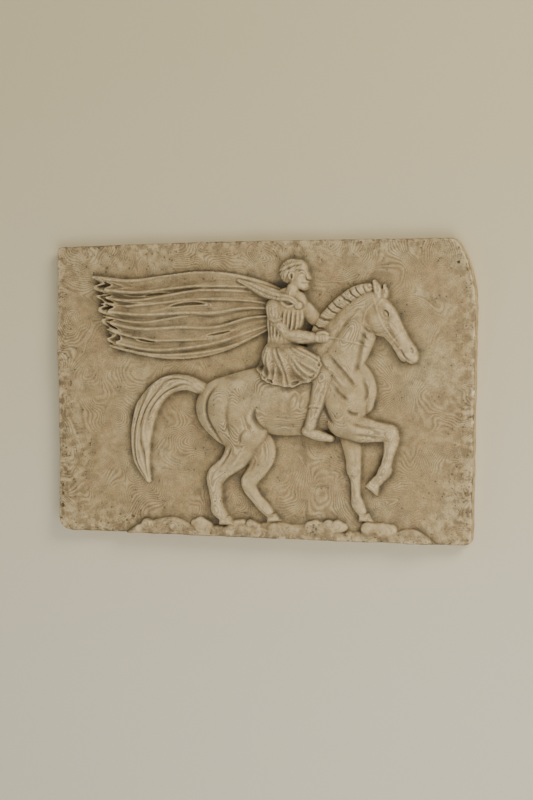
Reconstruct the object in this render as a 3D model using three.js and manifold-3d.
// Marble relief plaque: a cloaked rider on a pacing horse, carved in one piece with its slab.
// Millimetres, +Z up. The back lies on the wall plane Y = 0 with the origin at its centre,
// and the carved face looks along -Y.
import * as THREE from "three";
import { mergeVertices } from "three/addons/utils/BufferGeometryUtils.js";
import Module from "manifold-3d";

const wasm = await Module();
wasm.setup();

// Slab
const SLAB_WIDTH = 600;
const SLAB_HEIGHT = 406;
const SLAB_THICKNESS = 24;
const EDGE_EASE = 2.5;
const CORNER = { topLeft: 7, bottomLeft: 18, bottomRight: 8 };
const BROKEN_CORNER = { across: 34, down: 88, roundness: 1.7, segments: 12 };

// The top edge is level from here to the right and falls by the drop to its left end
const TOP_LEVEL_FROM = -75;
const TOP_LEFT_DROP = 4;

// How far the sides lean in from top to bottom
const LEAN = { left: 3, right: 5.5 };
const CORNER_SEGMENTS = 8;
const EASE_SEGMENTS = 2;

// Carving: how deep each form is rooted in the slab, and how finely it is faceted
const ROOT = 6;
const SIDES = 12;
const CAP_RINGS = 2;
const RING_PITCH = 9;

// Below a form's middle line its wall stands straight: the rear points spread by this to reach the wall
const WALL_SPREAD = 1.16;

// Joins leave slivers narrower than this, which are closed up
const SLIVER = 0.06;

// Points closer together than this are one point
const WELD = 1e-4;

// Where the rider's and horse's shared origin, at the middle of the horse's back, sits on the slab
const GROUP = { across: 46, up: -6 };

// Rows of a carved form: across, up, half width, height of its middle line, bulge above that line
const HORSE = {
  barrel: [[-90, -16, 40, 0, 15], [-50, -8, 43, 0, 18], [-6, -6, 50, 0, 20], [36, 2, 52, 0, 20],
    [68, 12, 42, 0, 18]],
  haunch: [[-106, -20, 28, 2, 14], [-90, -20, 43, 2, 18], [-74, -34, 42, 3, 18], [-58, -52, 28, 3, 16]],
  shoulder: [[56, 36, 26, 3, 16], [72, 10, 36, 3, 19], [78, -14, 31, 3, 19], [76, -32, 23, 3, 18]],
  chest: [[74, 22, 38, 0, 16], [94, 10, 27, 0, 14], [98, -8, 20, 0, 12]],
  neck: [[52, 38, 42, 1, 16], [75, 68, 38, 2, 17], [95, 97, 31, 3, 15], [113, 118, 23, 4, 12]],
  nearForearm: [[76, -34, 23, 4, 15], [95, -44, 19, 5, 14], [119, -48, 14, 6, 11], [140, -50, 12, 6, 10]],
  nearForeCannon: [[140, -50, 12, 6, 10], [142, -60, 10.4, 6, 10], [139, -77, 7.4, 6, 8.5],
    [135, -93, 7.2, 6, 8], [133, -101, 9, 6, 9], [127, -110, 7, 6, 8], [122, -115, 7.4, 6, 8]],
  nearHind: [[-80, -32, 38, 3, 16], [-66, -60, 28, 4, 15], [-74, -84, 19, 5, 13],
    [-93, -104, 12.6, 6, 10.5], [-105, -117, 12, 6, 10], [-106, -131, 9.2, 6, 9], [-104, -148, 8, 6, 8],
    [-102, -159, 9.4, 6, 9], [-95, -168, 7.4, 6, 8]],
  nearHock: [[-92, -92, 6, 5, 8], [-108, -106, 6, 6, 9], [-112, -116, 6, 6, 9]],
  farFore: [[82, -30, 20, 1, 9], [86, -58, 15, 1, 8.5], [89, -84, 11, 1, 8], [90, -100, 10.4, 1, 8],
    [92, -113, 7.2, 1, 7], [93, -134, 6.8, 1, 7], [95, -145, 8.8, 1, 7.5], [101, -156, 7, 1, 7]],
  farHind: [[-62, -50, 28, 1, 10], [-42, -78, 22, 1, 9.5], [-45, -100, 14.4, 1, 9],
    [-56, -117, 11.8, 1, 8.5], [-57, -128, 10.4, 1, 8], [-48, -142, 8, 1, 7], [-38, -153, 8.4, 1, 7.4],
    [-30, -161, 7, 1, 7]],
  farHock: [[-52, -104, 5, 1, 7], [-63, -116, 5.4, 1, 8], [-64, -124, 5.2, 1, 7.5]],
  tail: [[-124, 6, 9, 3, 9], [-150, 15, 10.5, 4, 9], [-180, 9, 13.5, 4, 9], [-204, -16, 16, 4, 9],
    [-216, -52, 16, 3, 8], [-216, -90, 12, 2, 7], [-206, -122, 4, 1, 5]],
};

// The horse's head, in rows along and across its own axis from the poll
const HEAD = { across: 115, up: 128, turn: -54 };
const HEAD_FORMS = {
  skull: [[4, 0, 15, 4, 12], [24, 3, 15.5, 4, 13], [46, 3, 12.5, 4, 13], [70, 1, 10.4, 4, 12],
    [86, 0, 11, 4, 11.5], [94, -1, 8.5, 4, 10]],
  cheek: [[14, -8, 18, 5, 12], [27, -8, 20, 5, 13], [38, -7, 15, 5, 12]],
  jaw: [[40, -8, 10, 4, 10], [62, -7, 7.4, 4, 9], [80, -9, 6.4, 4, 8.5], [87, -9.5, 6.2, 4, 8]],
  nearEar: [[2, 10, 6, 6, 9], [-8, 15, 5.4, 6, 9], [-18, 17, 2.2, 6, 7]],
  farEar: [[8, 13, 5, 2, 8], [2, 20, 4.4, 2, 7], [-6, 25, 1.8, 2, 6]],
};

// The upright cropped mane along the crest of the neck, cut into tufts
const CREST = [[32, 60, 9, 1, 9], [44, 90, 10, 2, 11], [66, 117, 10, 3, 11], [92, 137, 9, 4, 11],
  [112, 144, 6, 5, 10]];
const TUFTS = 11;
const TUFT_CUT = 0.2;

// Hooves: across, up, turn of the leg's end, size, height of the middle line, bulge
const HOOVES = {
  nearFore: [119, -118, -128, 11, 5, 9],
  nearHind: [-92, -170, -88, 11, 5, 9],
  farFore: [104, -160, -88, 10.5, 1, 8],
  farHind: [-26, -165, -80, 10.5, 1, 8],
};
const HOOF_SPAN = { start: -0.15, end: 0.95, coronet: 0.65, heel: 0.75, toe: 1.25, ease: 0.3 };

const RIDER = {
  torso: [[-8, 54, 25, 6, 13], [-7, 80, 21, 7, 13], [-4, 106, 26, 7, 14], [1, 121, 25, 6, 12]],
  neck: [[2, 128, 9.5, 6, 12], [7, 144, 9, 6, 12]],
  thigh: [[-12, 52, 25, 8, 15], [22, 42, 22, 10, 16], [52, 24, 16, 13.5, 13.5]],
  skirt: [[-14, 62, 26, 8, 16], [4, 52, 26, 9, 17.5], [24, 42, 24.5, 9.5, 18]],
  shin: [[52, 24, 15, 13.5, 13.5], [47, 2, 14, 14, 12.5], [37, -26, 9.6, 13, 11], [32, -42, 8.4, 12, 10.5]],
  foot: [[28, -48, 8.2, 11, 10], [42, -54, 7.4, 10, 9.5], [59, -58, 4.8, 9.5, 8]],
  upperArm: [[-18, 118, 13.5, 10, 12], [-14, 102, 11.8, 12, 12], [0, 82, 9.8, 13, 11]],
  forearm: [[0, 82, 9.6, 13, 11], [20, 78, 9.2, 13, 10.5], [42, 77, 6.4, 13, 9]],
  fist: [[46, 77, 7.4, 13, 9], [54, 77, 7.4, 13, 9]],
  farArm: [[22, 116, 11, 2, 9], [42, 98, 9, 2, 8], [62, 94, 7, 2, 8]],
  skull: [[5.5, 166, 17.5, 5, 16], [9, 165, 17, 5, 16]],
  face: [[16, 170, 10.8, 5, 12], [17.5, 151, 9.2, 5, 11]],
  jaw: [[9, 152, 8, 5, 11], [22.5, 146.6, 5.6, 5, 10.5]],
  nose: [[25, 166, 1.9, 5, 8.5], [28.3, 157.4, 2.4, 5, 8.5]],
  cloakRoll: [[17, 121, 5, 11, 9], [4, 129.5, 7, 11, 10.5], [-12, 132, 8.5, 9, 11], [-30, 138, 9, 7, 9.5],
    [-52, 147, 7, 4, 8], [-72, 155, 3, 2, 6]],
};

// The cloak: it streams out behind between two edges, from the shoulders to a notched hem
const CLOAK = {
  topEdge: [[4, 136], [-32, 152], [-78, 164], [-128, 168], [-180, 163], [-232, 158], [-288, 164]],
  lowEdge: [[-22, 92], [-52, 77], [-90, 60], [-132, 50], [-176, 48], [-220, 54], [-262, 64]],
  base: 3,
  crown: 3.5,
  foldStart: 0.45,
  hemCut: 0.05,
  stepsAlong: 22,
  stepsAcross: 42,
};

// Its folds: share of the way from top edge to low edge at the shoulders and at the hem, half width, height
const FOLDS = [[0.03, 0.03, 0.06, 6.5], [0.12, 0.16, 0.06, 9], [0.22, 0.3, 0.05, 8], [0.34, 0.37, 0.045, 5],
  [0.45, 0.49, 0.07, 10.5], [0.52, 0.59, 0.045, 5.5], [0.63, 0.7, 0.06, 9.5], [0.76, 0.78, 0.045, 5],
  [0.86, 0.87, 0.06, 9], [0.97, 0.975, 0.05, 6.5]];

// The rocky ledge that the horse paces on: it dies down by the fall over the fade at each end
const LEDGE = { start: -215, end: 270, fade: 70, fall: 26, top: -185, lowest: 6, height: 7, pitch: 9 };

// How the ledge's upper edge wanders: size and length of each swing
const LEDGE_SWINGS = [[5, 31], [3, 11]];

const marble = new THREE.MeshStandardMaterial({ color: 0xb5a382, roughness: 0.78, metalness: 0 });

// A closed geometry as a solid that can be joined and cut
function toSolid(geometry) {
  const bare = new THREE.BufferGeometry();
  bare.setAttribute("position", geometry.getAttribute("position"));
  if (geometry.index) bare.setIndex(geometry.index);
  const merged = mergeVertices(bare, WELD);
  return new wasm.Manifold(
    new wasm.Mesh({
      numProp: 3,
      vertProperties: new Float32Array(merged.attributes.position.array),
      triVerts: new Uint32Array(merged.index.array),
    }),
  );
}

// A solid's surface as a geometry
function toGeometry(solid) {
  const mesh = solid.getMesh();
  const geometry = new THREE.BufferGeometry();
  geometry.setAttribute("position", new THREE.BufferAttribute(mesh.vertProperties, 3));
  geometry.setIndex(new THREE.BufferAttribute(mesh.triVerts, 1));
  geometry.computeVertexNormals();
  return geometry;
}

// One value out of the rows, eased along them
function valueAlong(rows, column, share) {
  const points = rows.map((row) => new THREE.Vector3(row[column], 0, 0));
  return new THREE.CatmullRomCurve3(points).getPoint(share).x;
}

// A carved limb: a round-ended sweep that stands out of the slab and is rooted in it
function limb(rows, widthAt = () => 1) {
  const path = new THREE.CatmullRomCurve3(rows.map((row) => new THREE.Vector3(row[0], 0, row[1])));
  const bodyRings = Math.max(rows.length + 1, Math.round(path.getLength() / RING_PITCH));
  const rings = bodyRings + 2 * CAP_RINGS;
  const geometry = new THREE.SphereGeometry(1, SIDES, rings);
  const position = geometry.attributes.position;
  const front = new THREE.Vector3(0, -1, 0);
  for (let ring = 0; ring <= rings; ring += 1) {
    const share = THREE.MathUtils.clamp((ring - CAP_RINGS) / bodyRings, 0, 1);
    const past = Math.max(CAP_RINGS - ring, ring - CAP_RINGS - bodyRings, 0) / CAP_RINGS;
    const capAngle = (past * Math.PI) / 2;
    const shrink = Math.cos(capAngle);
    const outward = ring < CAP_RINGS ? -1 : 1;
    const centre = path.getPoint(share);
    const tangent = path.getTangent(share);
    const [halfWidth, middle, bulge] = [2, 3, 4].map((column) => valueAlong(rows, column, share));
    const half = halfWidth * widthAt(share);
    centre.addScaledVector(tangent, outward * half * Math.sin(capAngle));
    const side = new THREE.Vector3().crossVectors(tangent.negate(), front);
    for (let turn = 0; turn <= SIDES; turn += 1) {
      const angle = (turn / SIDES) * 2 * Math.PI;
      const rise = Math.sin(angle) * shrink;
      const rooted = rise < -WELD || past === 1;
      const height = rooted ? -ROOT : middle + rise * bulge;
      const spread = THREE.MathUtils.clamp(Math.cos(angle) * (rooted ? WALL_SPREAD : 1), -1, 1);
      const point = centre.clone().addScaledVector(side, -spread * half * shrink);
      position.setXYZ(ring * (SIDES + 1) + turn, point.x, -height, point.z);
    }
  }
  return toSolid(geometry);
}

// Rows given along and across the horse's head, turned into the group's own frame
function onHead(rows) {
  const turn = THREE.MathUtils.degToRad(HEAD.turn);
  const axis = new THREE.Vector2(Math.cos(turn), Math.sin(turn));
  return rows.map(([along, across, ...rest]) => [
    HEAD.across + along * axis.x - across * axis.y,
    HEAD.up + along * axis.y + across * axis.x,
    ...rest,
  ]);
}

// The mane narrows at each cut between tufts
function maneWidth(share) {
  return 1 - TUFT_CUT * (1 - Math.abs(Math.sin(share * TUFTS * Math.PI)));
}

// A hoof: a flared block at the end of a leg
function hoof([across, up, turn, size, middle, bulge]) {
  const outline = new THREE.Shape([
    new THREE.Vector2(HOOF_SPAN.start, -HOOF_SPAN.coronet),
    new THREE.Vector2(HOOF_SPAN.end, -HOOF_SPAN.heel),
    new THREE.Vector2(HOOF_SPAN.end, HOOF_SPAN.toe),
    new THREE.Vector2(HOOF_SPAN.start, HOOF_SPAN.coronet),
  ].map((point) => point.multiplyScalar(size)));
  const ease = HOOF_SPAN.ease * size;
  const geometry = new THREE.ExtrudeGeometry(outline, {
    depth: middle + bulge + ROOT - 2 * ease,
    bevelThickness: ease,
    bevelSize: ease,
    bevelOffset: -ease,
    bevelSegments: EASE_SEGMENTS,
  });
  geometry.rotateZ(THREE.MathUtils.degToRad(turn));
  geometry.translate(across, up, ease - ROOT);
  geometry.rotateX(Math.PI / 2);
  return toSolid(geometry);
}

// The cloak's folds at a place on it: 0 in a valley, up to the fold's own height on its ridge
function foldHeight(along, across) {
  const heights = FOLDS.map(([start, end, halfWidth, height]) => {
    const away = (across - THREE.MathUtils.lerp(start, end, along)) / halfWidth;
    return height * Math.max(0, 1 - away * away);
  });
  return Math.max(...heights);
}

// A smooth line on the slab through places given as across, up
function line(places) {
  return new THREE.CatmullRomCurve3(places.map(([across, up]) => new THREE.Vector3(across, 0, up)));
}

// The cloak: a closed sheet between its two edges, longest along its ridges
function cloak() {
  const [topEdge, lowEdge] = [line(CLOAK.topEdge), line(CLOAK.lowEdge)];
  const tallest = Math.max(...FOLDS.map(([, , , height]) => height));
  const geometry = new THREE.BoxGeometry(1, 1, 1, CLOAK.stepsAlong, CLOAK.stepsAcross, 1);
  const position = geometry.attributes.position;
  for (let i = 0; i < position.count; i += 1) {
    const along = 0.5 + position.getX(i);
    const across = 0.5 + position.getY(i);
    const fold = foldHeight(along, across);
    const reach = along * (1 - CLOAK.hemCut * (1 - fold / tallest));
    const place = topEdge.getPoint(reach).lerp(lowEdge.getPoint(reach), across);
    const raised = fold * THREE.MathUtils.lerp(CLOAK.foldStart, 1, along);
    const height = CLOAK.base + CLOAK.crown * Math.sin(Math.PI * across) + raised;
    position.setXYZ(i, place.x, position.getZ(i) > 0 ? -height : ROOT, place.z);
  }
  return toSolid(geometry);
}

// The slab's outline, with eased corners and one corner broken away and worn round
function slabOutline() {
  const top = SLAB_HEIGHT / 2;
  const side = SLAB_WIDTH / 2;
  const outline = new THREE.Shape();
  const corner = (across, up, radius, start) =>
    outline.absarc(across, up, radius, start * Math.PI, (start + 0.5) * Math.PI);
  outline.moveTo(LEAN.left - side + CORNER.bottomLeft, -top);
  corner(side - LEAN.right - CORNER.bottomRight, CORNER.bottomRight - top, CORNER.bottomRight, 1.5);
  for (let i = 0; i <= BROKEN_CORNER.segments; i += 1) {
    const angle = (i / BROKEN_CORNER.segments) * (Math.PI / 2);
    const across = BROKEN_CORNER.across * (1 - Math.cos(angle) ** (2 / BROKEN_CORNER.roundness));
    const down = BROKEN_CORNER.down * (1 - Math.sin(angle) ** (2 / BROKEN_CORNER.roundness));
    outline.lineTo(side - across, top - down);
  }
  outline.lineTo(TOP_LEVEL_FROM, top);
  corner(CORNER.topLeft - side, top - TOP_LEFT_DROP - CORNER.topLeft, CORNER.topLeft, 0.5);
  corner(LEAN.left - side + CORNER.bottomLeft, CORNER.bottomLeft - top, CORNER.bottomLeft, 1);
  return outline;
}

// The slab: flat back on the wall plane, front edge eased
function slab() {
  const geometry = new THREE.ExtrudeGeometry(slabOutline(), {
    depth: SLAB_THICKNESS - 2 * EDGE_EASE,
    curveSegments: CORNER_SEGMENTS,
    bevelThickness: EDGE_EASE,
    bevelSize: EDGE_EASE,
    bevelOffset: -EDGE_EASE,
    bevelSegments: EASE_SEGMENTS,
  });
  geometry.translate(0, 0, EDGE_EASE);
  geometry.rotateX(Math.PI / 2);
  return toSolid(geometry);
}

// The ledge: a rough step along the foot of the slab
function ledge() {
  const foot = -SLAB_HEIGHT / 2 + EDGE_EASE;
  const count = Math.round((LEDGE.end - LEDGE.start) / LEDGE.pitch);
  const crest = [];
  for (let i = 0; i <= count; i += 1) {
    const x = THREE.MathUtils.lerp(LEDGE.end, LEDGE.start, i / count);
    const inside = Math.min(x - LEDGE.start, LEDGE.end - x);
    const fall = LEDGE.fall * (1 - THREE.MathUtils.smoothstep(inside, 0, LEDGE.fade));
    const swing = LEDGE_SWINGS.reduce((sum, [size, length]) => sum + size * Math.sin(x / length), 0);
    crest.push(new THREE.Vector2(x, LEDGE.top + swing - fall));
  }
  const standing = crest.filter((point) => point.y > foot + LEDGE.lowest);
  const outline = new THREE.Shape([
    new THREE.Vector2(standing.at(-1).x, foot),
    new THREE.Vector2(standing[0].x, foot),
    ...standing,
  ]);
  const geometry = new THREE.ExtrudeGeometry(outline, {
    depth: LEDGE.height + ROOT - EDGE_EASE,
    bevelThickness: EDGE_EASE,
    bevelSize: EDGE_EASE,
    bevelOffset: -EDGE_EASE,
    bevelSegments: EASE_SEGMENTS,
  });
  geometry.translate(0, 0, -ROOT);
  geometry.rotateX(Math.PI / 2);
  return toSolid(geometry);
}

const figures = wasm.Manifold.union([
  ...Object.values(HORSE).map((rows) => limb(rows)),
  ...Object.values(HEAD_FORMS).map((rows) => limb(onHead(rows))),
  limb(CREST, maneWidth),
  ...Object.values(HOOVES).map(hoof),
  ...Object.values(RIDER).map((rows) => limb(rows)),
  cloak(),
]).translate([GROUP.across, 0, GROUP.up]);

const relief = wasm.Manifold.union([figures, ledge()]).translate([0, -SLAB_THICKNESS, 0]);

const plaque = new THREE.Mesh(toGeometry(slab().add(relief).simplify(SLIVER)), marble);
plaque.name = "relief_slab";

const group = new THREE.Group();
group.name = "relief_plaque";
group.add(plaque);

export default group;
